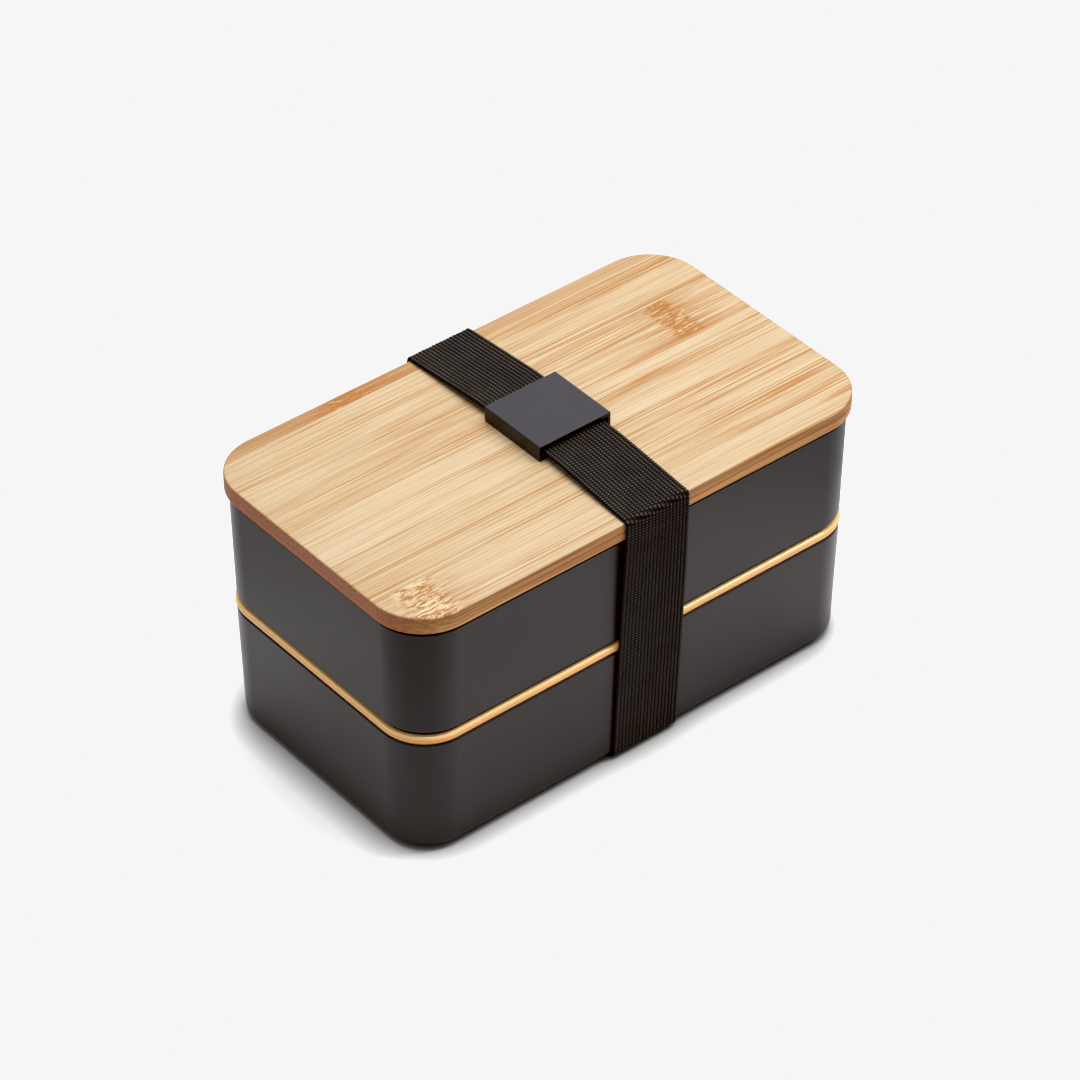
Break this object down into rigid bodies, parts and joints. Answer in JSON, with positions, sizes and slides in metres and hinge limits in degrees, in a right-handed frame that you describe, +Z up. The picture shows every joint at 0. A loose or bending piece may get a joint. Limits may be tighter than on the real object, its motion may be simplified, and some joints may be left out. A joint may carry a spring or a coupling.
{
  "type": "bento lunch box",
  "caption": "Two-tier rectangular lunch box with a bamboo lid, a seating inner lid, gaskets, a sliding divider and an elastic band with a square slider.",
  "frame": {"origin": "centre of the footprint, on the surface the box stands on", "axes": "+X along the box, +Y across it along the band, +Z up through the lid"},
  "size_m": [0.185, 0.1088, 0.1026],
  "materials": {
    "bamboo_face": "satin",
    "bamboo_under": "satin",
    "tray_plastic": "satin",
    "tan_plastic": "satin",
    "seal_rubber": "matte",
    "elastic_weave": "matte",
    "sewing_thread": "matte",
    "slider_plastic": "gloss"
  },
  "bodies": {
    "lower_tray": {"lower_tray": "tray_plastic"},
    "divider": {"tray_divider": "tray_plastic"},
    "inner_lid": {"inner_lid": "tan_plastic", "inner_lid_seal": "seal_rubber"},
    "upper_tray": {"upper_tray": "tray_plastic"},
    "lid": {"lid_strip_1": "bamboo_face", "lid_strip_2": "bamboo_face", "lid_strip_3": "bamboo_face", "lid_strip_4": "bamboo_face", "lid_strip_5": "bamboo_face", "lid_strip_6": "bamboo_face", "lid_lower_ply": "bamboo_under", "lid_plug": "bamboo_under", "lid_seal": "seal_rubber"},
    "band_low": {"band_low": "elastic_weave"},
    "band_under": {"band_under": "elastic_weave"},
    "band_ring": {"band_ring": "elastic_weave"},
    "band_high": {"band_high": "elastic_weave"},
    "band_top": {"band_top": "elastic_weave", "band_join": "elastic_weave", "join_stitches": "sewing_thread"},
    "slider": {"slider_cover": "slider_plastic", "slider_plate": "slider_plastic"}
  },
  "joints": [
    {"name": "inner_lid_lift", "type": "slide", "parent": "lower_tray", "child": "inner_lid", "axis": [0, 0, 1], "range_m": [0, 0.05]},
    {"name": "upper_tray_lift", "type": "slide", "parent": "inner_lid", "child": "upper_tray", "axis": [0, 0, 1], "range_m": [0, 0.05]},
    {"name": "lid_lift", "type": "slide", "parent": "upper_tray", "child": "lid", "axis": [0, 0, 1], "range_m": [0, 0.06]},
    {"name": "divider_slide", "type": "slide", "parent": "lower_tray", "child": "divider", "axis": [1, 0, 0], "range_m": [-0.07, 0.03]},
    {"name": "band_pull", "type": "slide", "parent": "lower_tray", "child": "band_low", "axis": [1, 0, 0], "range_m": [0, 0.108]},
    {"name": "band_under_drop", "type": "slide", "parent": "band_low", "child": "band_under", "axis": [0, 0, -1], "range_m": [0, 0.004]},
    {"name": "band_ring_rise", "type": "slide", "parent": "band_low", "child": "band_ring", "axis": [0, 0, 1], "range_m": [0, 0.05]},
    {"name": "band_high_rise", "type": "slide", "parent": "band_ring", "child": "band_high", "axis": [0, 0, 1], "range_m": [0, 0.05]},
    {"name": "band_top_rise", "type": "slide", "parent": "band_high", "child": "band_top", "axis": [0, 0, 1], "range_m": [0, 0.06]},
    {"name": "slider_slide", "type": "slide", "parent": "band_top", "child": "slider", "axis": [0, 1, 0], "range_m": [-0.008, 0.008]}
  ],
  "couplings": [
    {"joint": "band_under_drop", "follows": "band_pull", "ratio": 0.035},
    {"joint": "band_ring_rise", "follows": "inner_lid_lift", "ratio": 1},
    {"joint": "band_high_rise", "follows": "upper_tray_lift", "ratio": 1},
    {"joint": "band_top_rise", "follows": "lid_lift", "ratio": 1}
  ]
}
